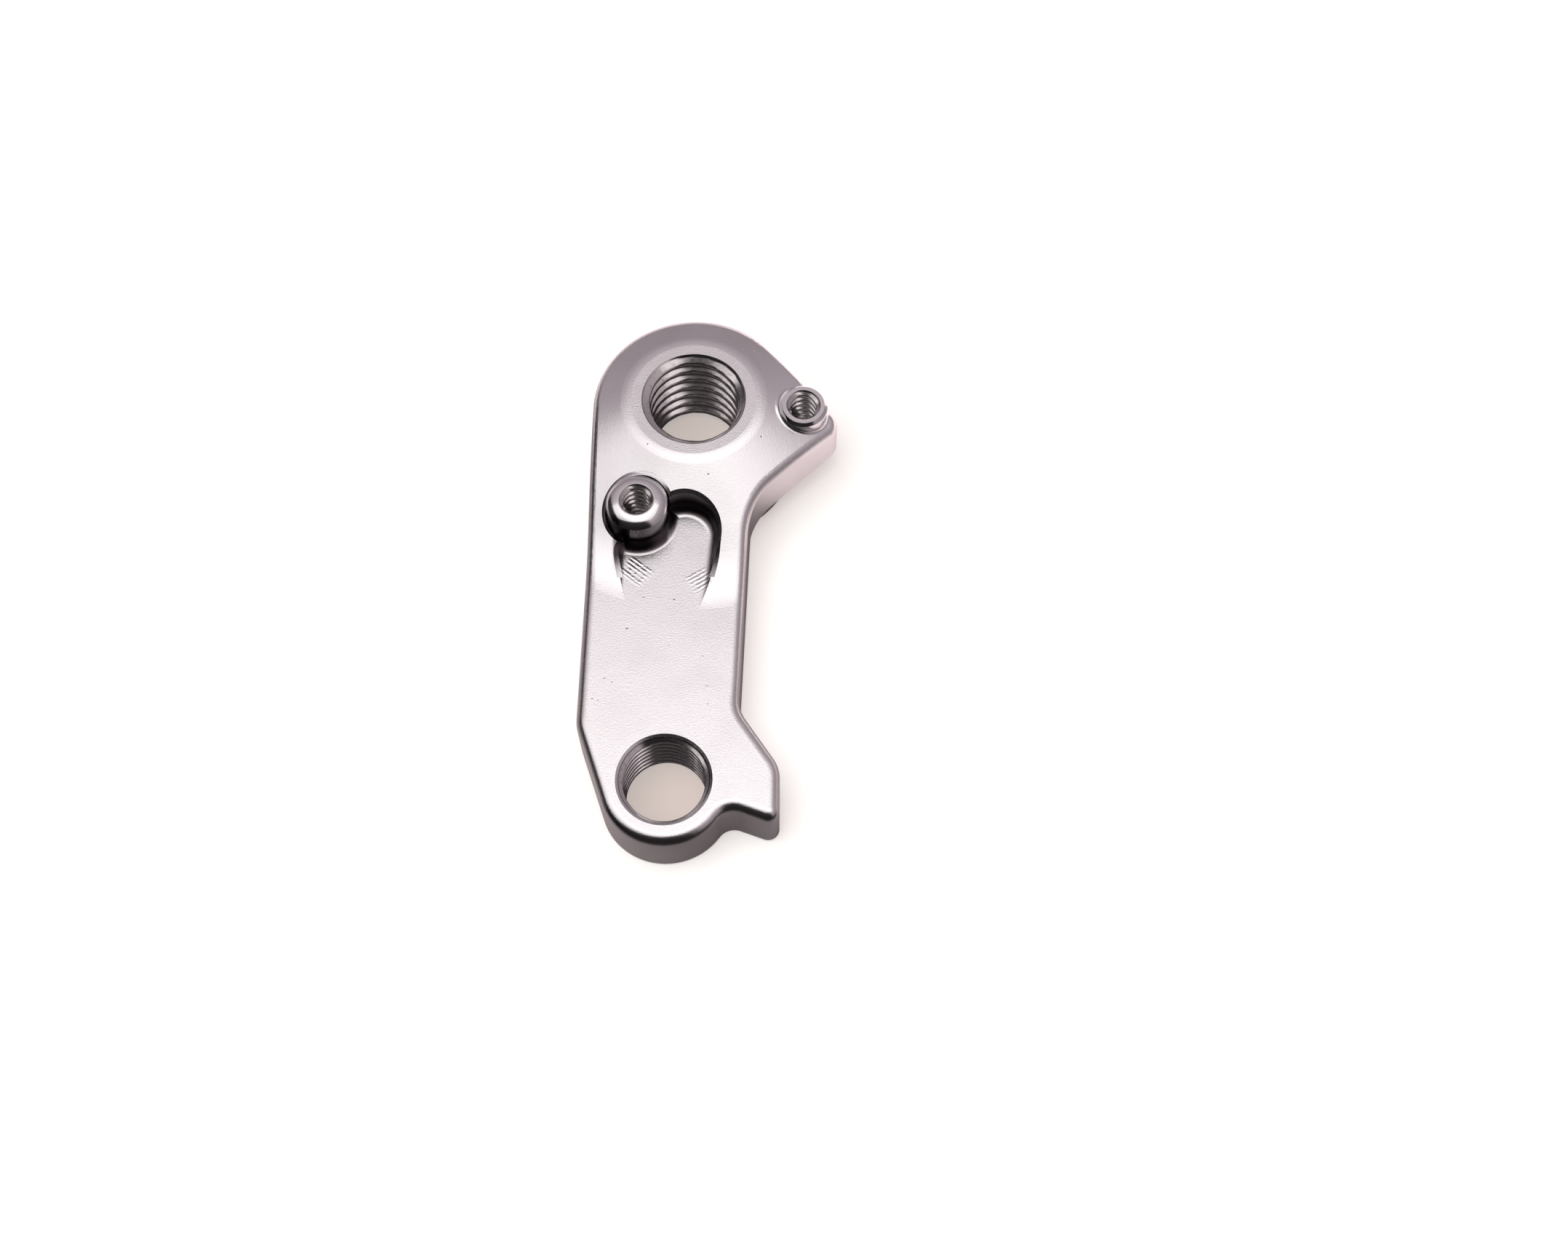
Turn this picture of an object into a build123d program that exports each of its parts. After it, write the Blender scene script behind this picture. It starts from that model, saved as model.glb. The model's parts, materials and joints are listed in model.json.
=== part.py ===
from build123d import *
import os
from math import acos, atan2, cos, degrees, hypot, radians, sin, tan

# Bicycle derailleur hanger, one machined piece of aluminium. Millimetres.
# Origin: axle-thread axis at the back face. +X to the ear's side, +Y to the axle end,
# +Z out of the axle face. The back face lies on z = 0.

os.makedirs("parts", exist_ok=True)

# Heights above the back face
face_z = 12.78          # ring face around the axle thread
flat_z = 7.47           # flat of the lower body, and the floor of the pocket
flange_z = 4.3          # underside of the ear flange
boss_z = 12.3           # tops of the two screw bosses

# Crown: a ring face that falls away on all sides to the flat
ring_r = 7.85           # where the ring face and the cone would meet
ring_soft_r = 3.3       # soft edge between the ring face and the cone
cone_deg = 22.0         # fall of the cone
foot_r = 17.0           # hollow at the foot of the cone
reach_r = 60.0          # past the farthest corner of the outline

# Outline seen along Z
lobe_r = 11.7           # upper lobe, round the axle thread
corner_x = -12.2        # lower left corner, before rounding
corner_y = -38.1
corner_r = 5.0
end_x = -2.3            # derailleur thread, and the lower lobe round it
end_y = -44.5
end_r = 7.25
tab_x = 10.22           # right edge of the stop tab
tab_low_y = -49.45      # its lower right corner
tab_low_deg = 19.6      # fall of its lower edge
tab_low_r = 1.25
tab_top_y = -42.7       # its upper right corner
tab_top_r = 4.0
crotch_r = 2.0          # hollow between the lower lobe and the tab
neck_low_x = 5.66       # inner corner of the neck and the tab
neck_low_y = -36.02
neck_low_r = 4.0
neck_lean_deg = 2.0     # lean of the neck's right edge
ear_deg = 44.0          # the ear's lower edge runs this way
ear_side = 12.95        # distance of that edge from the axle axis
ear_bend_r = 8.8        # hollow between the neck and the ear
ear_tip_r = 2.0
pad_bend_r = 2.5        # hollow between the neck and the upper lobe, at the back
edge_r = 1.2            # round along the whole upper edge
back_break = 0.35       # edge break at the back

# Screw bosses
left_x = -6.16
left_y = -12.92
left_r = 3.5
left_flat_r = 2.1       # flat top of the left boss
left_dome_r = 1.85      # round from that flat down to the edge
left_dome_h = 0.85      # height of that round
left_foot_r = 1.3
moat_gap = 0.25         # gap between the left boss and the wall round it
right_along = 8.765     # right boss: its place along the ear
right_inset = 3.86      # and in from the ear's lower edge
right_r = 2.76
right_edge = 0.33       # slope round its flat top
right_foot_r = 0.4

# Pocket in the crown, open towards the lower body
pocket_r = 3.95         # round end beside the left boss
pocket_x = -0.85
pocket_y = -15.3
pocket_lean_deg = 5.5   # lean of the right wall
pocket_left_x = -8.65   # left wall
pocket_left_y = -16.0   # its upper end
pocket_left_r = 1.6
pocket_mouth_y = -26.0  # past the foot of the crown
pocket_foot_r = 1.3
rim_break = 0.35        # edge break along the rim
rim_end_y = -20.4       # where that break ends

# Threads at their major radii
axle_r = 6.0
end_hole_r = 5.0
end_sink_r = 5.28       # countersink on the flat
end_sink_h = 0.2
bolt_r = 2.0
left_depth = 9.0        # full depth of the blind holes in the bosses
right_depth = 6.3
drill_deg = 118.0       # point of the drill
sink = 0.01             # how far joined pieces reach into each other


def touch(px, py, cx, cy, r, side):
    """Point where the line from (px, py) touches a circle; side is +1 or -1."""
    away = atan2(py - cy, px - cx)
    turn = acos(r / hypot(px - cx, py - cy))
    return cx + r * cos(away + side * turn), cy + r * sin(away + side * turn)


def polar(cx, cy, r, deg):
    """Point on a circle at an angle from +X."""
    return cx + r * cos(radians(deg)), cy + r * sin(radians(deg))


def soften(face, corners):
    """Round the named corners of a flat outline, one radius each."""
    for point, radius in corners:
        corner = face.vertices().sort_by_distance((point[0], point[1], 0))[0]
        face = fillet(corner, radius)
    return face


def ledges(part, up, wall):
    """Edges between a face that looks up by at least `up` and one that does by at most `wall`."""
    found = []
    for edge in part.edges():
        mid = edge @ 0.5
        sides = [f for f in part.faces() if any(e.is_same(edge) for e in f.edges())]
        tilts = sorted(f.normal_at(mid).Z for f in sides)
        if len(tilts) == 2 and abs(tilts[0]) <= wall and tilts[1] >= up:
            found.append(edge)
    return found


# Corners of the outline
lean = tan(radians(neck_lean_deg))
ear_c = cos(radians(ear_deg))
ear_s = sin(radians(ear_deg))
right_side = ear_side - right_inset
right_x = right_along * ear_c + right_side * ear_s
right_y = right_along * ear_s - right_side * ear_c
tab_c = cos(radians(tab_low_deg))
tab_s = sin(radians(tab_low_deg))
corner = (corner_x, corner_y)
left_top = touch(corner_x, corner_y, 0, 0, lobe_r, -1)
left_low = touch(corner_x, corner_y, end_x, end_y, end_r, 1)
tab_low = (tab_x, tab_low_y)
tab_top = (tab_x, tab_top_y)
tab_off = (tab_low_y - end_y) * tab_c + (tab_x - end_x) * tab_s
tab_run = (tab_x - end_x) * tab_c - (tab_low_y - end_y) * tab_s
tab_run = tab_run - (end_r**2 - tab_off**2) ** 0.5
crotch = (tab_x - tab_run * tab_c, tab_low_y + tab_run * tab_s)
neck_low = (neck_low_x, neck_low_y)
neck_x = neck_low_x - lean * neck_low_y
bend_y = (neck_x * ear_s - ear_side) / (ear_c - lean * ear_s)
bend = (neck_x + lean * bend_y, bend_y)
ear_top = (lobe_r * ear_c, lobe_r * ear_s)
ear_tip = (ear_top[0] + ear_side * ear_s, ear_top[1] - ear_side * ear_c)
pad_y = -(neck_x * lean + (lobe_r**2 * (1 + lean**2) - neck_x**2) ** 0.5) / (1 + lean**2)
pad_top = (neck_x + lean * pad_y, pad_y)

# Left edge, lower lobe, tab and neck, shared by the full outline and the back pad
shared = [
    Line(left_top, corner),
    Line(corner, left_low),
    ThreePointArc(left_low, polar(end_x, end_y, end_r, -90), crotch),
    Line(crotch, tab_low),
    Line(tab_low, tab_top),
    Line(tab_top, neck_low),
]
shared_corners = [
    (corner, corner_r),
    (crotch, crotch_r),
    (tab_low, tab_low_r),
    (tab_top, tab_top_r),
    (neck_low, neck_low_r),
]
ear = [
    Line(neck_low, bend),
    Line(bend, ear_tip),
    Line(ear_tip, ear_top),
    ThreePointArc(ear_top, (0, lobe_r), left_top),
]
full = make_face(Curve() + shared + ear)
full = soften(full, shared_corners + [(bend, ear_bend_r), (ear_tip, ear_tip_r)])
pad_side = [
    Line(neck_low, pad_top),
    ThreePointArc(pad_top, polar(0, 0, lobe_r, 60), left_top),
]
pad = make_face(Curve() + shared + pad_side)
pad = soften(pad, shared_corners + [(pad_top, pad_bend_r)])

# Crown turned about the axle axis, with its seam under the left boss
cone_foot = (ring_r + (face_z - flat_z) / tan(radians(cone_deg)), flat_z)
cone_head = (ring_r, face_z)
crown_line = Polyline(
    (0, 0), (reach_r, 0), (reach_r, flat_z), cone_foot, cone_head, (0, face_z), close=True
)
crown = soften(make_face(crown_line), [(cone_foot, foot_r), (cone_head, ring_soft_r)])
crown = revolve(Plane.XZ * crown, Axis.Z, 360)
crown = Rot(0, 0, degrees(atan2(left_y, left_x))) * crown

# Body: the ear's flange stands out from the back pad, and the crown shapes the top
upper = extrude(Pos(0, 0, flange_z) * full, face_z + 1 - flange_z)
lower = extrude(pad, flange_z)
body = (upper + lower) & crown
top_edge = [e for e in ledges(body, 0.8, 0.05) if (e @ 0.5).Z > flange_z + sink]
body = fillet(top_edge, edge_r)
back_face = body.faces().sort_by(Axis.Z)[0]
body = chamfer(back_face.outer_wire().edges(), back_break)

# Pocket: a round well for the left boss, joined to a bay that opens downwards
deep = face_z - flat_z
well = Pos(left_x, left_y, flat_z + deep / 2) * Cylinder(left_r + moat_gap, deep)
well = fillet(well.faces().sort_by(Axis.Z)[0].edges(), pocket_foot_r)
bay_top = polar(pocket_x, pocket_y, pocket_r, 130)
bay_side = polar(pocket_x, pocket_y, pocket_r, -pocket_lean_deg)
bay_drop = tan(radians(pocket_lean_deg)) * (bay_side[1] - pocket_mouth_y)
bay_right = (bay_side[0] - bay_drop, pocket_mouth_y)
bay_left = (pocket_left_x, pocket_mouth_y)
bay_corner = (pocket_left_x, pocket_left_y)
bay_line = [
    Line(bay_left, bay_corner),
    Line(bay_corner, (left_x, pocket_left_y)),
    Line((left_x, pocket_left_y), (left_x, left_y)),
    Line((left_x, left_y), bay_top),
    ThreePointArc(bay_top, polar(pocket_x, pocket_y, pocket_r, 60), bay_side),
    Line(bay_side, bay_right),
    Line(bay_right, bay_left),
]
bay = soften(make_face(Curve() + bay_line), [(bay_corner, pocket_left_r)])
bay = extrude(Pos(0, 0, flat_z) * bay, deep)
bay_foot = bay.faces().sort_by(Axis.Z)[0].edges().sort_by(Axis.Y)[1:]
bay = fillet(bay_foot, pocket_foot_r)

# The rim is broken while the bay still ends short of the foot, and then the bay is opened
short = bay & (Pos(0, rim_end_y + reach_r / 2, flat_z) * Box(reach_r, reach_r, reach_r))
body = body - well - short
rim = [e for e in ledges(body, 0.85, 0.75) if (e @ 0.5).Z > flat_z + sink]
rim = [e for e in rim if rim_end_y + sink < (e @ 0.5).Y < -axle_r]
body = chamfer(rim, rim_break)
body = body - bay

# Left boss, with a domed shoulder and a hollow foot
shoulder_z = boss_z - left_dome_h
hollow_z = flat_z + left_foot_r - sink
hollow_out = (left_r + left_foot_r, flat_z - sink)
root_z = flat_z - left_foot_r
boss_line = [
    Line((0, root_z), (hollow_out[0], root_z)),
    Line((hollow_out[0], root_z), hollow_out),
    RadiusArc(hollow_out, (left_r, hollow_z), left_foot_r),
    Line((left_r, hollow_z), (left_r, shoulder_z)),
    RadiusArc((left_r, shoulder_z), (left_flat_r, boss_z), -left_dome_r),
    Line((left_flat_r, boss_z), (0, boss_z)),
    Line((0, boss_z), (0, root_z)),
]
left_boss = revolve(Plane.XZ * make_face(Curve() + boss_line), Axis.Z, 360)
body = body + Pos(left_x, left_y, 0) * left_boss

# Right boss, on the ear: a post with a hollow foot, then cut to height with a sloped edge
post_z = face_z + right_r
post = Pos(right_x, right_y, (post_z + flat_z) / 2) * Cylinder(right_r, post_z - flat_z)
body = body + post
foot = ledges(body, 0.3, 0.05)
foot = [e for e in foot if hypot((e @ 0.5).X - right_x, (e @ 0.5).Y - right_y) < right_r + sink]
foot = [e for e in foot if (e @ 0.5).Z < face_z]
body = fillet(foot, right_foot_r)
cap_line = Polyline(
    (0, boss_z),
    (right_r - right_edge, boss_z),
    (right_r, boss_z - right_edge),
    (right_r, boss_z),
    (right_r + right_foot_r, boss_z),
    (right_r + right_foot_r, post_z + 1),
    (0, post_z + 1),
    close=True,
)
cap = revolve(Plane.XZ * make_face(cap_line), Axis.Z, 360)
body = body - Pos(right_x, right_y, 0) * cap


def hole(x, y, points):
    """Turned hole: its profile's points from the lower end of the axis to the upper."""
    return Pos(x, y, 0) * revolve(Plane.XZ * make_face(Polyline(*points, close=True)), Axis.Z, 360)


def blind(x, y, top_z, depth):
    """Blind hole for a boss thread, with the drill's point below the full depth."""
    point_z = top_z - depth - bolt_r / tan(radians(drill_deg / 2))
    return hole(x, y, [(0, point_z), (bolt_r, top_z - depth), (bolt_r, post_z), (0, post_z)])


# Threaded holes: two right through, and a blind one in each boss
sink_slope = (end_sink_r - end_hole_r) / end_sink_h
sink_top = (end_sink_r + sink_slope, flat_z + 1)
eye = [(0, -1), (end_hole_r, -1), (end_hole_r, flat_z - end_sink_h), sink_top, (0, flat_z + 1)]
body = body - hole(0, 0, [(0, -1), (axle_r, -1), (axle_r, post_z), (0, post_z)])
body = body - hole(end_x, end_y, eye)
body = body - blind(left_x, left_y, boss_z, left_depth)
body = body - blind(right_x, right_y, boss_z, right_depth)

export_step(body, "parts/derailleur_hanger.step")
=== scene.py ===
"""Bicycle derailleur hanger: finish, screw threads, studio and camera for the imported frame."""

from __future__ import annotations

import json
import logging
import math
from dataclasses import dataclass
from enum import Enum
from typing import Any

import bpy
import numpy as np
from mathutils import Matrix, Vector

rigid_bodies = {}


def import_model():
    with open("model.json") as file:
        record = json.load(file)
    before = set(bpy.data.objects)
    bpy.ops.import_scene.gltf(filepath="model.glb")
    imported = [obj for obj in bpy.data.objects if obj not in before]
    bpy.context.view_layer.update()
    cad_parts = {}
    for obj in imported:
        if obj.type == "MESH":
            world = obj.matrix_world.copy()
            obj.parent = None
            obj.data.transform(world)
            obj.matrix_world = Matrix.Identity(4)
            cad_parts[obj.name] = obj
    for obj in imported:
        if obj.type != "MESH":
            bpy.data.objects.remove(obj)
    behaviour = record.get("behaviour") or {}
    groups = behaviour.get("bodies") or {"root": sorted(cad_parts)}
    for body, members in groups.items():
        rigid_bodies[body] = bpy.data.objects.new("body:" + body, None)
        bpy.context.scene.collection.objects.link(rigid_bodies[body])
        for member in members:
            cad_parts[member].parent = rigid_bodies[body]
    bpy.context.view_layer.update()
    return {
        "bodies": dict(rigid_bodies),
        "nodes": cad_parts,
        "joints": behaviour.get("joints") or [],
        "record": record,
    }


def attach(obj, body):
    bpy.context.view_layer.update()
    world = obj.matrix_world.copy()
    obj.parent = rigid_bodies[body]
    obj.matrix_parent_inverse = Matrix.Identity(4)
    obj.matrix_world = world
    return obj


LOG = logging.getLogger("derailleur_hanger")
MM = 0.001
NODE = "derailleur_hanger"
# The groove attribute also sets the painted shade in each thread's groove.
GROOVE_SHADE = "groove"  # attribute of a thread: how far a point lies down its groove, 0 to 1
SMOOTH = {"interpolation_type": "SMOOTHSTEP"}

# A number, a colour, a vector, an output, or a node whose first output is meant
Feed = Any


class Body(Enum):
    """Bodies of the frame."""

    ROOT = "root"


class Slot(Enum):
    """Material slots of the record."""

    ALUMINIUM = "bead_blasted_aluminium"


class Mouth(Enum):
    """How the lower end of a threaded hole is finished."""

    COUNTERSUNK = "countersunk"
    BLIND = "blind"


class Along(Enum):
    """What a fade runs along."""

    X = "place along X in mm"
    Y = "place along Y in mm"
    Z = "height in mm"
    LEAN = "x less a share of y, square to the leaning pocket wall, in mm"
    RISE = "upward part of the surface's normal"
    NOISE = "level of a noise, 0 to 1"
    REACH = "distance from the origin in mm"
    SIDE = "x / z of a direction, across the ceiling"
    DEEP = "y / z of a direction, along the ceiling"
    RIGHT = "x of a direction"
    UP = "z of a direction"
    FRONT = "y of a direction, and a share of its x where that is positive"


def linear(hex_colour: str) -> tuple[float, float, float, float]:
    """Turns an sRGB hex colour into linear light.

    Args:
        hex_colour: six hex digits.

    Returns:
        Red, green, blue and an alpha of 1.
    """
    srgb = [int(hex_colour[i : i + 2], 16) / 255 for i in (0, 2, 4)]
    light = [c / 12.92 if c <= 0.04045 else ((c + 0.055) / 1.055) ** 2.4 for c in srgb]
    return light[0], light[1], light[2], 1.0


def add(
    tree: bpy.types.NodeTree,
    kind: str,
    *feeds: Feed,
    named: dict[str, Feed] | None = None,
    **settings: Any,
) -> bpy.types.Node:
    """Adds one node with its settings and links.

    Args:
        tree: node tree of a material or a world.
        kind: type of the node, after "ShaderNode".
        feeds: what goes into each input, in the order in which the node shows them. None
            leaves an input as it is.
        named: what goes into other inputs, by name.
        settings: properties of the node.

    Returns:
        The node.
    """
    node = tree.nodes.new("ShaderNode" + kind)
    for name, value in settings.items():
        setattr(node, name, value)
    pairs = list(zip([socket for socket in node.inputs if socket.enabled], feeds))
    pairs += [(node.inputs[name], feed) for name, feed in (named or {}).items()]
    for socket, feed in pairs:
        if isinstance(feed, bpy.types.Node):
            feed = next(output for output in feed.outputs if output.enabled)
        if isinstance(feed, bpy.types.NodeSocket):
            tree.links.new(feed, socket)
        elif feed is not None:
            socket.default_value = feed
    return node


def empty_material(name: str) -> bpy.types.Material:
    """Makes a material with no nodes.

    Args:
        name: what the surface is.

    Returns:
        The material.
    """
    material = bpy.data.materials.new(name)
    material.use_nodes = True
    material.node_tree.nodes.clear()
    return material


@dataclass(frozen=True)
class Fade:
    """A smooth step from one level to another.

    Attributes:
        along: what it runs along.
        start: where it begins.
        end: where it ends.
        low: level before it.
        high: level after it.
    """

    along: Along
    start: float
    end: float
    low: float
    high: float


def fade_all(tree: bpy.types.NodeTree, fades: tuple[Fade, ...], ways: dict[Along, Feed]) -> Feed:
    """Multiplies fades into one level.

    Args:
        tree: node tree.
        fades: the fades.
        ways: the source of what each of them runs along.

    Returns:
        The product.
    """
    level: Feed = 1.0
    for fade in fades:
        limits = (fade.start, fade.end, fade.low, fade.high)
        step = add(tree, "MapRange", ways[fade.along], *limits, **SMOOTH)
        level = add(tree, "Math", level, step, operation="MULTIPLY")
    return level


@dataclass(frozen=True)
class Circle:
    """A round place, seen along Z.

    Attributes:
        x: place in mm.
        y: place in mm.
        radius: size in mm.
    """

    x: float
    y: float
    radius: float


@dataclass(frozen=True)
class Dent:
    """A small round dent, seen along Z.

    Attributes:
        x: place in mm.
        y: place in mm.
        radius: size in mm.
        depth: 1 for a full dent, less for a faint one.
        core: share of the radius in which it is deepest.
    """

    x: float
    y: float
    radius: float
    depth: float
    core: float = 0.2


@dataclass(frozen=True)
class Hatch:
    """A patch of cutter marks on the pocket floor.

    Attributes:
        x: place of its middle in mm.
        y: place of its middle in mm.
        half_long: half length in mm, along the marks.
        half_wide: half width in mm, across the marks.
        turn_deg: direction of the marks from +X.
        pitch: spacing of the marks in mm.
        full_long: share of the half length in which the marks are full.
        full_wide: share of the half width in which they are full.
    """

    x: float
    y: float
    half_long: float
    half_wide: float
    turn_deg: float
    pitch: float
    full_long: float = 0.5
    full_wide: float = 0.6


@dataclass(frozen=True)
class PaintedShade:
    """Painted shade on the pocket walls, which darkens them where they lie in shade.

    It lies on the walls, and in the hollow at their foot, inside the pocket's bounds.

    Attributes:
        colour: sRGB hex.
        lean: share of y that goes with x along the leaning right wall.
        walls: fades that find steep faces.
        hollows: fades that find the hollow at the foot.
        bounds: fades at the bounds of the pocket.
        zones: fades of its strength in the bay, in the well and on the left wall. The
            strongest counts.
    """

    colour: str
    lean: float
    walls: tuple[Fade, ...]
    hollows: tuple[Fade, ...]
    bounds: tuple[Fade, ...]
    zones: tuple[tuple[Fade, ...], ...]

    def mask(self, tree: bpy.types.NodeTree, axes: bpy.types.Node) -> Feed:
        """Works out where the painted shade lies.

        Args:
            tree: node tree.
            axes: place in mm, split into its axes.

        Returns:
            The mask, from 0 to 1.
        """
        x, y, z = axes.outputs
        normal = add(tree, "NewGeometry").outputs["Normal"]
        rise = add(tree, "SeparateXYZ", normal).outputs[2]
        lean = add(tree, "Math", y, self.lean, x, operation="MULTIPLY_ADD")
        ways = {Along.X: x, Along.Y: y, Along.Z: z, Along.LEAN: lean, Along.RISE: rise}
        walls = fade_all(tree, self.walls, ways)
        hollows = fade_all(tree, self.hollows, ways)
        faces = add(tree, "Math", hollows, walls, operation="MAXIMUM")
        bounds = fade_all(tree, self.bounds, ways)
        inside = add(tree, "Math", faces, bounds, operation="MULTIPLY")
        strength: Feed = 0.0
        for zone in self.zones:
            level = fade_all(tree, zone, ways)
            strength = add(tree, "Math", strength, level, operation="MAXIMUM")
        return add(tree, "Math", inside, strength, operation="MULTIPLY")


@dataclass(frozen=True)
class BlastedAluminium:
    """Machined aluminium, blasted with fine beads and clear anodised.

    Attributes:
        colour: sRGB hex of the metal.
        stain_and_shade: sRGB hex of its darker clouds.
        roughness: of the blasted surface.
        uneven: how far the grain changes the roughness.
        polish: roughness of the bosses.
        grain_mm: size of the grain. Beads leave about 0.1 mm, drawn coarser so that it shows.
        cloud_mm: size of the clouds.
        clouds: share of the stain in them.
        break_mm: length after which a cutter mark breaks off.
        breaks: height of the marks where they are broken or whole, in heights of the grain.
        relief_mm: height of the grain.
        dent_relief: depth of a dent, in heights of the grain.
        bosses: bosses, which were turned after blasting.
        boss_edge: width in mm over which the turned finish ends.
        boss_low: height in mm at which it begins.
        boss_high: height in mm from which it is full.
        dents: small dents.
        hatches: cutter marks.
        painted_shade: painted shade on the pocket walls and the hollow at their foot.
    """

    colour: str
    stain_and_shade: str
    roughness: float
    uneven: float
    polish: float
    grain_mm: float
    cloud_mm: float
    clouds: Fade
    break_mm: float
    breaks: Fade
    relief_mm: float
    dent_relief: float
    bosses: tuple[Circle, ...]
    boss_edge: float
    boss_low: float
    boss_high: float
    dents: tuple[Dent, ...]
    hatches: tuple[Hatch, ...]
    painted_shade: PaintedShade

    def turned(self, tree: bpy.types.NodeTree, flat: Feed, height: Feed) -> Feed:
        """Mask of the bosses: 1 near a boss's axis and above the pocket floor.

        Args:
            tree: node tree.
            flat: place in mm, with no height.
            height: height in mm.

        Returns:
            The mask.
        """
        mask: Feed = 0.0
        for boss in self.bosses:
            apart = add(tree, "VectorMath", flat, (boss.x, boss.y, 0), operation="DISTANCE")
            limits = (boss.radius, boss.radius + self.boss_edge, 1.0, 0.0)
            near = add(tree, "MapRange", apart, *limits, **SMOOTH)
            mask = add(tree, "Math", mask, near, operation="MAXIMUM")
        high = add(tree, "MapRange", height, self.boss_low, self.boss_high, 0.0, 1.0, **SMOOTH)
        return add(tree, "Math", mask, high, operation="MULTIPLY")

    def dented(self, tree: bpy.types.NodeTree, flat: Feed) -> Feed:
        """Depth of the dents: full in the core, then a smooth rise to the rim.

        Args:
            tree: node tree.
            flat: place in mm, with no height.

        Returns:
            The depth of the deepest dent at a point.
        """
        depth: Feed = 0.0
        for dent in self.dents:
            apart = add(tree, "VectorMath", flat, (dent.x, dent.y, 0), operation="DISTANCE")
            limits = (dent.core * dent.radius, dent.radius, dent.depth, 0.0)
            hollow = add(tree, "MapRange", apart, *limits, **SMOOTH)
            depth = add(tree, "Math", depth, hollow, operation="MAXIMUM")
        return depth

    def hatched(self, tree: bpy.types.NodeTree, place: Feed) -> Feed:
        """Height of the cutter marks: sine waves across each patch, fading at its edges.

        Args:
            tree: node tree.
            place: place in mm.

        Returns:
            The height, from 0 to 1.
        """
        height: Feed = 0.0
        for hatch in self.hatches:
            turn = (0, 0, math.radians(hatch.turn_deg))
            own = add(tree, "Mapping", place, (hatch.x, hatch.y, 0), turn, vector_type="TEXTURE")
            along, across, _ = add(tree, "SeparateXYZ", own).outputs
            far_long = add(tree, "Math", along, operation="ABSOLUTE")
            far_wide = add(tree, "Math", across, operation="ABSOLUTE")
            long_limits = (hatch.full_long * hatch.half_long, hatch.half_long, 1.0, 0.0)
            wide_limits = (hatch.full_wide * hatch.half_wide, hatch.half_wide, 1.0, 0.0)
            inside = add(
                tree,
                "Math",
                add(tree, "MapRange", far_long, *long_limits, **SMOOTH),
                add(tree, "MapRange", far_wide, *wide_limits, **SMOOTH),
                operation="MULTIPLY",
            )
            waves = 2 * math.pi / hatch.pitch
            phase = add(tree, "Math", across, waves, operation="MULTIPLY")
            swing = add(tree, "Math", phase, operation="SINE")
            wave = add(tree, "Math", swing, 0.5, 0.5, operation="MULTIPLY_ADD")
            marks = add(tree, "Math", wave, inside, operation="MULTIPLY")
            height = add(tree, "Math", height, marks, operation="MAXIMUM")
        return height

    def material(self) -> bpy.types.Material:
        """Builds the material.

        Returns:
            The material.
        """
        # Fine beads leave an even satin grain, which spreads reflections. Handling leaves faint
        # clouds and dents, the cutter its marks in the pocket, and turned bosses shine more.
        material = empty_material("bead-blasted aluminium")
        tree = material.node_tree
        metres = add(tree, "TexCoord").outputs["Object"]
        place = add(tree, "VectorMath", metres, (1 / MM, 1 / MM, 1 / MM), operation="MULTIPLY")
        flat = add(tree, "VectorMath", place, (1, 1, 0), operation="MULTIPLY")
        axes = add(tree, "SeparateXYZ", place)
        turned = self.turned(tree, flat, axes.outputs[2])
        plain = add(tree, "Math", 1.0, turned, operation="SUBTRACT")
        dents = self.dented(tree, flat)
        grain_size = {"Scale": 1 / self.grain_mm, "Detail": 3.0, "Roughness": 0.7}
        cloud_size = {"Scale": 1 / self.cloud_mm, "Detail": 4.0}
        break_size = {"Scale": 1 / self.break_mm, "Detail": 2.0}
        grain = add(tree, "TexNoise", place, named=grain_size)
        cloud = add(tree, "TexNoise", place, named=cloud_size)
        gaps = add(tree, "TexNoise", place, named=break_size)

        clouds = fade_all(tree, (self.clouds,), {Along.NOISE: cloud})
        darker = add(tree, "Math", clouds, dents, operation="MAXIMUM")
        stained = add(tree, "Math", darker, plain, operation="MULTIPLY")
        metal, stain_and_shade = linear(self.colour), linear(self.stain_and_shade)
        bare = add(tree, "Mix", stained, metal, stain_and_shade, data_type="RGBA")
        # Painted shade: the pocket walls and the hollow at their foot are darkened.
        shade_mask = self.painted_shade.mask(tree, axes)
        colour = add(tree, "Mix", shade_mask, bare, linear(self.painted_shade.colour), data_type="RGBA")

        satin = self.roughness - 0.5 * self.uneven
        uneven = add(tree, "Math", grain, self.uneven, satin, operation="MULTIPLY_ADD")
        smoother = self.polish - self.roughness
        rough = add(tree, "Math", turned, smoother, uneven, operation="MULTIPLY_ADD")

        broken = fade_all(tree, (self.breaks,), {Along.NOISE: gaps})
        cut = add(tree, "Math", self.hatched(tree, place), broken, operation="MULTIPLY")
        marks = add(tree, "Math", cut, grain, operation="ADD")
        hollowed = add(tree, "Math", dents, -self.dent_relief, marks, operation="MULTIPLY_ADD")
        relief = add(tree, "Math", hollowed, plain, operation="MULTIPLY")
        bump_feeds = {"Strength": 1.0, "Distance": self.relief_mm * MM, "Height": relief}
        bump = add(tree, "Bump", named=bump_feeds)
        feeds = {"Base Color": colour, "Metallic": 1.0, "Roughness": rough, "Normal": bump}
        add(tree, "OutputMaterial", add(tree, "BsdfPrincipled", named=feeds))
        return material


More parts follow.
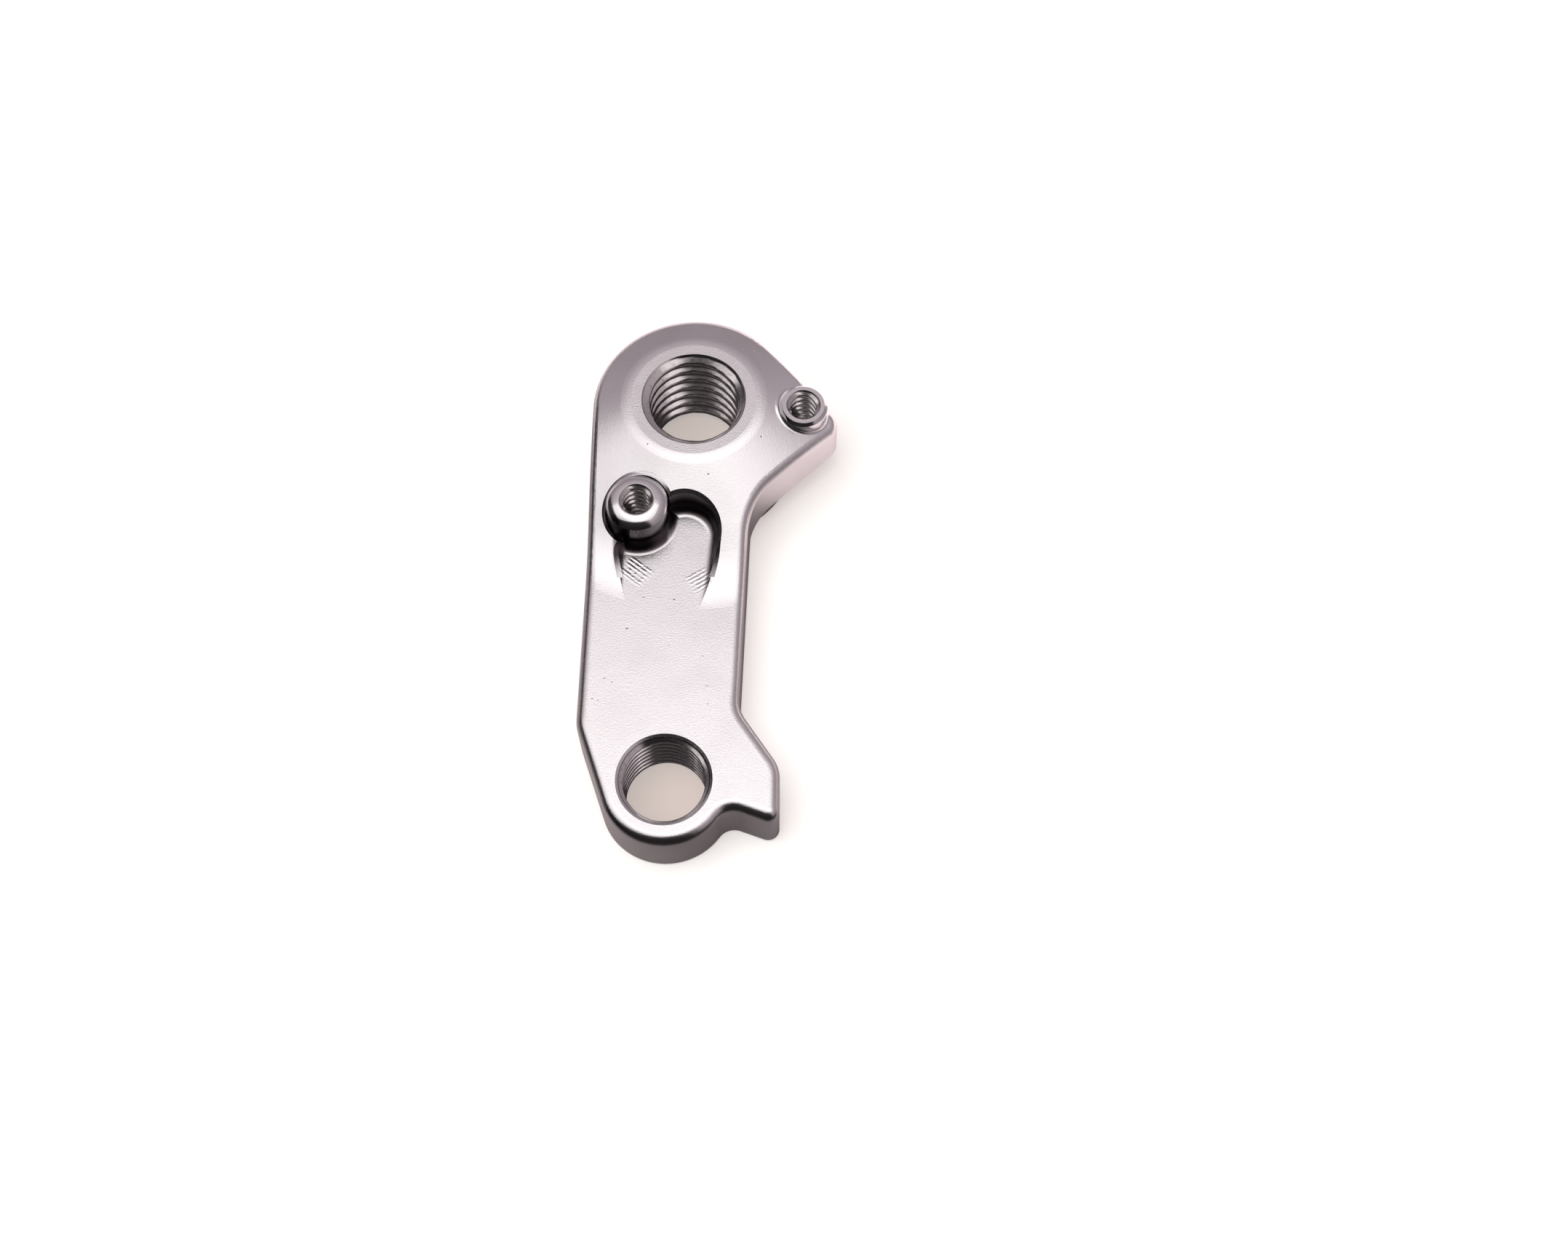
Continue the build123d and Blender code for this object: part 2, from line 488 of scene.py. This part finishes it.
@dataclass(frozen=True)
class CutThread:
    """Bright aluminium, as the tap left it.

    Attributes:
        colour: sRGB hex of the metal.
        stain_and_shade: sRGB hex of the painted shade in the grooves, also used for the worn tears.
        roughness: of the cut flanks.
        tear_mm: size of the tears. A tap leaves about 0.1 mm, drawn coarser so that they show.
        worn: share of the stain in them.
        relief_mm: height of the tears.
    """

    colour: str
    stain_and_shade: str
    roughness: float
    tear_mm: float
    worn: Fade
    relief_mm: float

    def material(self) -> bpy.types.Material:
        """Builds the material.

        Returns:
            The material.
        """
        # A tap shears the metal, so the flanks are bright and a little torn. Painted shade darkens
        # the bottom of the groove, where some cutting oil is also left.
        material = empty_material("tapped aluminium")
        tree = material.node_tree
        metres = add(tree, "TexCoord").outputs["Object"]
        size = {"Scale": 1 / (self.tear_mm * MM), "Detail": 3.0}
        tears = add(tree, "TexNoise", metres, named=size)
        worn = fade_all(tree, (self.worn,), {Along.NOISE: tears})
        groove = add(tree, "Attribute", attribute_name=GROOVE_SHADE).outputs["Fac"]
        # Painted shade in the groove, mixed with the darker worn tears.
        darker = add(tree, "Math", worn, groove, operation="MAXIMUM")
        metal, stain_and_shade = linear(self.colour), linear(self.stain_and_shade)
        colour = add(tree, "Mix", darker, metal, stain_and_shade, data_type="RGBA")
        bump_feeds = {"Strength": 1.0, "Distance": self.relief_mm * MM, "Height": tears}
        feeds = {
            "Base Color": colour,
            "Metallic": 1.0,
            "Roughness": self.roughness,
            "Normal": add(tree, "Bump", named=bump_feeds),
        }
        add(tree, "OutputMaterial", add(tree, "BsdfPrincipled", named=feeds))
        return material


def sleeve(
    radius: np.ndarray, heights: np.ndarray, wall: float, x: float, y: float
) -> tuple[np.ndarray, np.ndarray]:
    """Closed sleeve: an inside of changing radius, a plain outside and a ring at each end.

    A corner lies at its radius round the axis, at the angle of its column and the height of
    its row. Two more rows give the outside, and the last row joins the first.

    Args:
        radius: inner radius in mm, one row for each height and one column for each angle.
        heights: heights in mm, rising.
        wall: outer radius in mm.
        x: place of the axis in mm.
        y: place of the axis in mm.

    Returns:
        Corners in metres and quads, which face outwards.
    """
    rows, turns = radius.shape
    grid = np.concatenate([radius, np.full((2, turns), wall)])
    level = np.concatenate([heights, heights[[-1, 0]]])
    angle = np.arange(turns) * (2 * math.pi / turns)
    corners = np.stack(
        [
            x + grid * np.cos(angle),
            y + grid * np.sin(angle),
            np.broadcast_to(level[:, None], grid.shape),
        ],
        axis=-1,
    )
    index = np.arange((rows + 2) * turns).reshape(rows + 2, turns)
    above = np.roll(index, -1, axis=0)
    quads = np.stack(
        [index, above, np.roll(above, -1, axis=1), np.roll(index, -1, axis=1)], axis=-1
    )
    return corners.reshape(-1, 3) * MM, quads.reshape(-1, 4)


def make_mesh(
    name: str,
    corners: np.ndarray,
    faces: np.ndarray,
    material: bpy.types.Material,
    groove: np.ndarray | None = None,
) -> bpy.types.Object:
    """Makes a mesh object at the origin.

    Args:
        name: plain name of the piece.
        corners: corners in metres.
        faces: quads.
        material: its finish.
        groove: how far each corner lies down a groove, from 0 to 1, which sets its painted shade.

    Returns:
        The object.
    """
    mesh = bpy.data.meshes.new(name)
    mesh.from_pydata(corners.tolist(), [], faces.tolist())
    mesh.polygons.foreach_set("use_smooth", np.ones(len(faces), dtype=bool))
    mesh.materials.append(material)
    if groove is not None:
        mesh.attributes.new(GROOVE_SHADE, "FLOAT", "POINT").data.foreach_set("value", groove)
    mesh.update()
    piece = bpy.data.objects.new(name, mesh)
    bpy.context.scene.collection.objects.link(piece)
    return piece


@dataclass(frozen=True)
class Thread:
    """Metric screw thread in a hole, as a sleeve in the bore of the frame.

    Attributes:
        name: plain name of the piece.
        x: place of the axis in mm.
        y: place of the axis in mm.
        low: lower end in mm.
        high: upper end in mm.
        wall: radius of the bore in mm.
        pitch: rise of one turn in mm. The boss threads rise 0.7, drawn coarser so that they show.
        depth: depth of the groove in mm.
        mouth: radius of the upper mouth in mm.
        dark: share of the groove's depth, from the bottom up, which painted shade darkens.
        low_lead: height of the countersink at the lower end in mm.
        high_lead: height of the countersink at the upper end in mm.
        low_end: finish of the lower end.
        row: spacing of the rows in mm.
        turns: number of angles.
        crest: width of the crest, as a share of the pitch.
        root: width of the groove's bottom, as a share of the pitch.
        clear: how far the groove stays inside the bore, in mm.
        skin: how far the sleeve reaches past the bore, in mm.
    """

    name: str
    x: float
    y: float
    low: float
    high: float
    wall: float
    pitch: float
    depth: float
    mouth: float
    dark: float
    low_lead: float
    high_lead: float
    low_end: Mouth
    row: float
    turns: int
    crest: float = 0.25
    root: float = 0.125
    clear: float = 0.03
    skin: float = 0.05

    def radii(self, heights: np.ndarray) -> np.ndarray:
        """Inner radius: a 60 degree thread, opened by a cone at each countersunk end.

        A point's share of a turn is height / pitch - angle / full turn. The radius is the
        minor one on the crest, rises evenly to the major one and stays there in the root.
        A cone's radius falls evenly from its mouth to the minor one over its height.

        Args:
            heights: heights in mm.

        Returns:
            Radius in mm, one row for each height and one column for each angle.
        """
        angle = np.arange(self.turns) / self.turns
        share = np.mod(heights[:, None] / self.pitch - angle[None, :], 1.0)
        away = np.abs(share - 0.5) * 2
        rise = np.clip((away - self.crest) / (1 - self.root - self.crest), 0, 1)
        major = self.wall - self.clear
        minor = self.wall - self.depth
        radius = minor + (major - minor) * rise
        top = self.mouth - (self.high - heights) * (self.mouth - minor) / self.high_lead
        radius = np.maximum(radius, top[:, None])
        if self.low_end is Mouth.COUNTERSUNK:
            wide = self.wall + 0.5 * self.skin
            foot = wide - (heights - self.low) * (wide - minor) / self.low_lead
            radius = np.maximum(radius, foot[:, None])
        return radius

    def build(self, material: bpy.types.Material) -> bpy.types.Object:
        """Builds the sleeve.

        Args:
            material: its finish.

        Returns:
            The object.
        """
        count = int(round((self.high - self.low) / self.row)) + 1
        heights = np.linspace(self.low, self.high, count)
        radii = self.radii(heights)
        corners, quads = sleeve(radii, heights, self.wall + self.skin, self.x, self.y)
        # Painted shade: the deepest share of each groove is darkened.
        cut = 1 - (self.wall - radii) / self.depth / self.dark
        groove = np.concatenate([np.clip(cut, 0, 1).ravel(), np.zeros(2 * self.turns)])
        piece = make_mesh(self.name, corners, quads, material, groove)
        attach(piece, Body.ROOT.value)
        return piece


@dataclass(frozen=True)
class Hanger:
    """The hanger: its one solid and the threads cut into it.

    Attributes:
        finish: of the solid.
        thread_finish: of the threads.
        threads: the four threads.
    """

    finish: BlastedAluminium
    thread_finish: CutThread
    threads: tuple[Thread, ...]

    def build(self) -> list[bpy.types.Object]:
        """Builds the threads.

        Returns:
            The new objects.
        """
        material = self.thread_finish.material()
        return [thread.build(material) for thread in self.threads]

    def dress(self, solid: bpy.types.Object) -> None:
        """Gives the solid its finish.

        Args:
            solid: the frame's node.
        """
        material = self.finish.material()
        for place in solid.material_slots:
            place.material = material


@dataclass(frozen=True)
class Studio:
    """Pale table, a soft box overhead and dim walls.

    Attributes:
        table: sRGB hex of the table.
        table_half: half its side in metres.
        table_low: how far it lies below the object, in mm.
        echo: sRGB hex of the painted reflection of the table that the metal mirrors.
        echo_right: fades of that echo at the right.
        echo_left: fades of it at the left.
        echo_front: fades of both towards the front.
        echo_back: fades of it behind the object.
        holes: holes through which the table shows.
        hole_edge: width in mm over which the shade in them ends.
        hole_echo: share of the echo that is left in them.
        shade: sRGB hex of the painted shade on the table inside them.
        warm: sRGB hex of the light that the camera sees on the table besides its own.
        veil: fades of that light, which softens the shadow and whitens the far table.
        key: watts of the lamp that lights the table.
        key_colour: sRGB hex of its light.
        key_place: its place in metres.
        key_aim: point in metres at which it looks.
        key_side: its side in metres.
        box: sRGB hex of the soft box.
        box_level: its light.
        box_fades: its edges and falls.
        walls: sRGB hex of the walls.
        wall_fades: their light, which falls to the left and at the front.
        front_lean: share of x that goes with y in the direction of the front.
        ceiling_low: height of a direction below which the ceiling isn't stretched further.
        backdrop: sRGB hex of what the camera sees past the table.
    """

    table: str
    table_half: float
    table_low: float
    echo: str
    echo_right: tuple[Fade, ...]
    echo_left: tuple[Fade, ...]
    echo_front: tuple[Fade, ...]
    echo_back: tuple[Fade, ...]
    holes: tuple[Circle, ...]
    hole_edge: float
    hole_echo: float
    shade: str
    warm: str
    veil: tuple[Fade, ...]
    key: float
    key_colour: str
    key_place: tuple[float, float, float]
    key_aim: tuple[float, float, float]
    key_side: float
    box: str
    box_level: float
    box_fades: tuple[Fade, ...]
    walls: str
    wall_fades: tuple[Fade, ...]
    front_lean: float
    ceiling_low: float
    backdrop: str

    def paper(self) -> bpy.types.Material:
        """Builds the table's material.

        The camera sees it lit by the lamp, with a veil of light and painted shade in the holes. The
        metal sees a painted reflection of it instead, brightest behind the object and dim at the
        front.

        Returns:
            The material.
        """
        # Pressed fibres with no coating scatter light evenly, so it is matt and has no highlight.
        material = empty_material("matt white paper")
        tree = material.node_tree
        seen = add(tree, "LightPath")
        metres = add(tree, "TexCoord").outputs["Object"]
        place = add(tree, "VectorMath", metres, (1 / MM, 1 / MM, 1 / MM), operation="MULTIPLY")
        axes = add(tree, "SeparateXYZ", place)
        reach = add(tree, "VectorMath", place, operation="LENGTH")
        ways = {Along.X: axes.outputs[0], Along.Y: axes.outputs[1], Along.REACH: reach}
        inside: Feed = 0.0
        for hole in self.holes:
            middle = (hole.x, hole.y, -self.table_low)
            apart = add(tree, "VectorMath", place, middle, operation="DISTANCE")
            limits = (hole.radius, hole.radius + self.hole_edge, 1.0, 0.0)
            near = add(tree, "MapRange", apart, *limits, **SMOOTH)
            inside = add(tree, "Math", inside, near, operation="MAXIMUM")

        # Painted reflection: the table as the metal sees it, lighter or darker by place.
        right = fade_all(tree, self.echo_right, ways)
        left = fade_all(tree, self.echo_left, ways)
        front = fade_all(tree, self.echo_front, ways)
        back = fade_all(tree, self.echo_back, ways)
        both = add(tree, "Math", right, left, operation="ADD")
        open_echo = add(tree, "Math", both, front, back, operation="MULTIPLY_ADD")
        lost = self.hole_echo - 1.0
        left_over = add(tree, "Math", inside, lost, 1.0, operation="MULTIPLY_ADD")
        level = add(tree, "Math", open_echo, left_over, operation="MULTIPLY")
        echo = add(tree, "VectorMath", linear(self.echo)[:3], level, operation="SCALE")
        mirrored = add(tree, "BsdfDiffuse", echo)

        # Painted shade: the table is darker and warmer inside the holes.
        table, shade = linear(self.table), linear(self.shade)
        tint = add(tree, "Mix", inside, table, shade, data_type="RGBA")
        veil = fade_all(tree, self.veil, ways)
        shown = add(tree, "Math", seen.outputs["Is Camera Ray"], veil, operation="MULTIPLY")
        glow = add(tree, "Emission", linear(self.warm), shown)
        lit = add(tree, "AddShader", add(tree, "BsdfDiffuse", tint), glow)
        paper = add(tree, "MixShader", seen.outputs["Is Glossy Ray"], lit, mirrored)
        add(tree, "OutputMaterial", paper)
        return material

    def build_table(self) -> bpy.types.Object:
        """Builds the table top, one flat quad.

        Returns:
            The object.
        """
        half = self.table_half
        corners = np.array([[-half, -half, 0], [half, -half, 0], [half, half, 0], [-half, half, 0]])
        corners[:, 2] = -self.table_low * MM
        table = make_mesh("table", corners, np.array([[0, 1, 2, 3]]), self.paper())
        return table

    def build_lamp(self) -> bpy.types.Object:
        """Builds the lamp over the table.

        Returns:
            The lamp.
        """
        lamp = bpy.data.lights.new("soft lamp", "AREA")
        lamp.shape = "SQUARE"
        lamp.size = self.key_side
        lamp.energy = self.key
        lamp.color = linear(self.key_colour)[:3]
        holder = bpy.data.objects.new("soft lamp", lamp)
        bpy.context.scene.collection.objects.link(holder)
        place = Vector(self.key_place)
        turn = (Vector(self.key_aim) - place).to_track_quat("-Z", "Y").to_matrix().to_4x4()
        holder.matrix_world = Matrix.Translation(place) @ turn
        holder.visible_glossy = False
        return holder

    def build_world(self) -> None:
        """Builds the surroundings: white to the camera, a soft box and dim walls to the rest.

        The soft box spans the ceiling, with coordinates side = x / z and deep = y / z. It has
        an edge at the front and falls off towards the back and the sides.
        """
        world = bpy.data.worlds.new("studio")
        bpy.context.scene.world = world
        world.use_nodes = True
        tree = world.node_tree
        tree.nodes.clear()
        axes = add(tree, "SeparateXYZ", add(tree, "TexCoord"))
        right, back, up = axes.outputs
        lift = add(tree, "Math", up, self.ceiling_low, operation="MAXIMUM")
        rightward = add(tree, "Math", right, 0.0, operation="MAXIMUM")
        ways = {
            Along.SIDE: add(tree, "Math", right, lift, operation="DIVIDE"),
            Along.DEEP: add(tree, "Math", back, lift, operation="DIVIDE"),
            Along.RIGHT: right,
            Along.UP: up,
            Along.FRONT: add(
                tree, "Math", rightward, self.front_lean, back, operation="MULTIPLY_ADD"
            ),
        }
        walls = fade_all(tree, self.wall_fades, ways)
        dim = add(tree, "Background", linear(self.walls), walls)
        bright = add(tree, "Background", linear(self.box), self.box_level)
        both = add(tree, "MixShader", fade_all(tree, self.box_fades, ways), dim, bright)
        backdrop = add(tree, "Background", linear(self.backdrop), 1.0)
        seen = add(tree, "LightPath").outputs["Is Camera Ray"]
        add(tree, "OutputWorld", add(tree, "MixShader", seen, both, backdrop))


@dataclass(frozen=True)
class Viewpoint:
    """Camera at the photo's viewing angle.

    Attributes:
        place: of the camera in mm.
        aim: point in mm that it looks at.
        roll_deg: turn about its own axis.
        lens: focal length in mm.
        sensor: width of the sensor in mm.
        near: nearest distance in metres that it sees.
    """

    place: tuple[float, float, float]
    aim: tuple[float, float, float]
    roll_deg: float
    lens: float
    sensor: float
    near: float

    def build(self) -> bpy.types.Object:
        """Builds the camera.

        Returns:
            The camera.
        """
        data = bpy.data.cameras.new("camera")
        data.sensor_fit = "HORIZONTAL"
        data.sensor_width = self.sensor
        data.lens = self.lens
        data.clip_start = self.near
        camera = bpy.data.objects.new("camera", data)
        bpy.context.scene.collection.objects.link(camera)
        ahead = (Vector(self.aim) - Vector(self.place)).normalized()
        across = Vector((1, 0, 0))
        up = across.cross(ahead)
        turn = math.radians(self.roll_deg)
        right = across * math.cos(turn) + up * math.sin(turn)
        top = up * math.cos(turn) - across * math.sin(turn)
        frame = Matrix((right, top, -ahead)).transposed().to_4x4()
        camera.matrix_world = Matrix.Translation(Vector(self.place) * MM) @ frame
        bpy.context.scene.camera = camera
        return camera


DENTS = (
    Dent(-1.81, -22.95, 0.20, 0.9),
    Dent(-5.25, -22.70, 0.16, 0.6),
    Dent(-6.98, -26.59, 0.22, 0.8),
    Dent(-9.23, -32.70, 0.13, 0.9),
    Dent(-8.41, -33.13, 0.13, 0.8),
    Dent(-10.48, -35.15, 0.14, 0.9),
    Dent(-9.83, -35.32, 0.12, 0.8),
    Dent(2.11, -33.49, 0.13, 0.8),
    Dent(2.24, -35.65, 0.12, 0.7),
    Dent(-2.21, -28.60, 0.12, 0.6),
    Dent(1.54, -29.90, 0.12, 0.6),
    Dent(7.83, -4.66, 0.16, 1.0),
    Dent(1.87, -9.50, 0.15, 1.0),
    Dent(-5.12, -5.97, 0.16, 1.0),
    Dent(-6.46, -1.04, 0.13, 0.8),
    Dent(-1.80, -6.37, 0.13, 0.7),
    Dent(5.66, 7.01, 0.14, 0.9),
    Dent(6.85, 7.03, 0.14, 0.8),
    Dent(7.61, 6.72, 0.14, 0.8),
    Dent(-8.24, 4.73, 0.15, 0.8),
)

HATCHES = (
    Hatch(-6.19, -19.52, 1.9, 1.5, -38.0, 0.46),
    Hatch(1.10, -20.60, 1.5, 1.5, 32.0, 0.46),
)

# Painted shade in the pocket, on its steep walls and the hollow at their foot.
PAINTED_SHADE = PaintedShade(
    colour="5A5355",
    lean=-0.096,
    walls=(Fade(Along.RISE, 0.35, 0.60, 1.0, 0.0),),
    hollows=(
        Fade(Along.RISE, 0.92, 0.999, 1.0, 0.0),
        Fade(Along.Z, 8.5, 9.0, 1.0, 0.0),
        Fade(Along.X, -9.1, -8.7, 0.0, 1.0),
    ),
    bounds=(
        Fade(Along.X, -10.5, -10.1, 0.0, 1.0),
        Fade(Along.LEAN, 4.65, 4.95, 1.0, 0.0),
        Fade(Along.Y, -24.5, -22.5, 0.0, 1.0),
        Fade(Along.Y, -10.6, -10.0, 1.0, 0.0),
        Fade(Along.Z, 11.5, 11.8, 1.0, 0.0),
    ),
    zones=(
        (Fade(Along.X, -3.8, -3.0, 0.0, 1.0), Fade(Along.Y, -18.0, -12.0, 0.4, 1.0)),
        (Fade(Along.X, -3.0, -2.0, 1.0, 0.0), Fade(Along.Y, -14.5, -12.5, 1.0, 0.0)),
        (Fade(Along.X, -7.6, -7.0, 0.8, 0.0),),
    ),
)

HANGER = Hanger(
    finish=BlastedAluminium(
        colour="F6F5F6",
        stain_and_shade="C9C4C6",
        roughness=0.21,
        uneven=0.06,
        polish=0.15,
        grain_mm=0.16,
        cloud_mm=7.0,
        clouds=Fade(Along.NOISE, 0.4, 0.75, 0.0, 0.15),
        break_mm=0.6,
        breaks=Fade(Along.NOISE, 0.35, 0.6, 0.4, 2.4),
        relief_mm=0.018,
        dent_relief=1.3,
        bosses=(Circle(-6.16, -12.92, 3.55), Circle(12.62, -0.45, 2.8)),
        boss_edge=0.1,
        boss_low=8.6,
        boss_high=8.9,
        dents=DENTS,
        hatches=HATCHES,
        painted_shade=PAINTED_SHADE,
    ),
    thread_finish=CutThread(
        colour="EDE9E8",
        stain_and_shade="3A3434",
        roughness=0.13,
        # Painted shade in the thread grooves, also the colour of the worn tears.
        tear_mm=0.5,
        worn=Fade(Along.NOISE, 0.45, 0.8, 0.0, 0.3),
        relief_mm=0.002,
    ),
    threads=(
        Thread(
            name="axle_thread",
            x=0.0,
            y=0.0,
            low=0.02,
            high=12.775,
            wall=6.0,
            pitch=1.75,
            depth=0.947,
            mouth=6.02,
            dark=0.18,
            low_lead=0.55,
            high_lead=0.6,
            low_end=Mouth.COUNTERSUNK,
            row=0.09,
            turns=192,
        ),
        Thread(
            name="derailleur_thread",
            x=-2.3,
            y=-44.5,
            low=0.08,
            high=7.265,
            wall=5.0,
            pitch=1.0,
            depth=0.541,
            mouth=5.02,
            dark=0.25,
            low_lead=0.54,
            high_lead=0.42,
            low_end=Mouth.COUNTERSUNK,
            row=0.04,
            turns=160,
            crest=0.34,
        ),
        Thread(
            name="left_boss_thread",
            x=-6.16,
            y=-12.92,
            low=3.4,
            high=12.295,
            wall=2.0,
            pitch=1.0,
            depth=0.571,
            mouth=1.92,
            dark=0.4,
            low_lead=0.4,
            high_lead=0.4,
            low_end=Mouth.BLIND,
            row=0.05,
            turns=96,
        ),
        Thread(
            name="ear_boss_thread",
            x=12.62,
            y=-0.45,
            low=6.1,
            high=12.295,
            wall=2.0,
            pitch=1.0,
            depth=0.571,
            mouth=1.92,
            dark=0.4,
            low_lead=0.4,
            high_lead=0.4,
            low_end=Mouth.BLIND,
            row=0.05,
            turns=96,
        ),
    ),
)

STUDIO = Studio(
    table="D8D7D6",
    table_half=3.0,
    table_low=0.02,
    echo="B5A8A8",
    echo_right=(Fade(Along.X, 9.5, 14.0, 0.0, 1.3), Fade(Along.Y, -16.0, -8.0, 0.1, 1.0)),
    echo_left=(Fade(Along.X, -4.0, 4.0, 0.9, 0.62), Fade(Along.X, -32.0, -20.0, 0.5, 1.0)),
    echo_front=(Fade(Along.Y, -64.0, -42.0, 0.05, 1.0),),
    echo_back=(Fade(Along.Y, 6.0, 20.0, 0.0, 1.0),),
    holes=(Circle(0.0, 0.0, 5.2), Circle(-2.3, -44.5, 4.4)),
    hole_edge=1.0,
    hole_echo=0.25,
    shade="927D75",
    warm="FFF5EF",
    veil=(Fade(Along.REACH, 120.0, 500.0, 0.45, 1.0),),
    key=2.7,
    key_colour="F7FFFF",
    key_place=(-0.16, -0.12, 0.60),
    key_aim=(0.0, -0.02, 0.0),
    key_side=0.50,
    box="FFF9F9",
    box_level=1.34,
    box_fades=(
        Fade(Along.DEEP, 0.43, 0.53, 1.0, 0.0),
        Fade(Along.DEEP, -0.54, -0.46, 0.0, 1.0),
        Fade(Along.DEEP, -0.45, 0.05, 0.78, 1.0),
        Fade(Along.SIDE, -1.30, -1.10, 0.0, 1.0),
        Fade(Along.SIDE, -0.65, -0.12, 0.60, 1.0),
        Fade(Along.SIDE, 0.12, 0.62, 1.0, 0.62),
        Fade(Along.SIDE, 0.72, 0.90, 1.0, 0.0),
    ),
    walls="A3999E",
    wall_fades=(
        Fade(Along.UP, 0.2, 0.8, 0.72, 1.2),
        Fade(Along.RIGHT, -0.84, -0.70, 0.09, 1.0),
        Fade(Along.FRONT, -0.25, 0.02, 0.05, 1.0),
    ),
    front_lean=0.9,
    ceiling_low=0.05,
    backdrop="FFFFFF",
)

VIEWPOINT = Viewpoint(
    place=(10.56, -120.08, 210.82),
    aim=(10.56, -22.96, 0.0),
    roll_deg=0.42,
    lens=46.02,
    sensor=36.0,
    near=0.005,
)


def main() -> None:
    """Dresses the solid, adds the threads, and sets up the studio and the camera."""
    logging.basicConfig(level=logging.INFO, format="%(message)s")
    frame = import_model()
    bpy.context.scene.view_settings.view_transform = "Standard"
    HANGER.dress(frame["nodes"][NODE])
    LOG.info("dressed %s", NODE)
    for piece in HANGER.build():
        LOG.info("built %s with %d faces", piece.name, len(piece.data.polygons))
    STUDIO.build_table()
    STUDIO.build_lamp()
    STUDIO.build_world()
    VIEWPOINT.build()
    LOG.info("set up the studio and the camera")


if __name__ == "__main__":
    main()
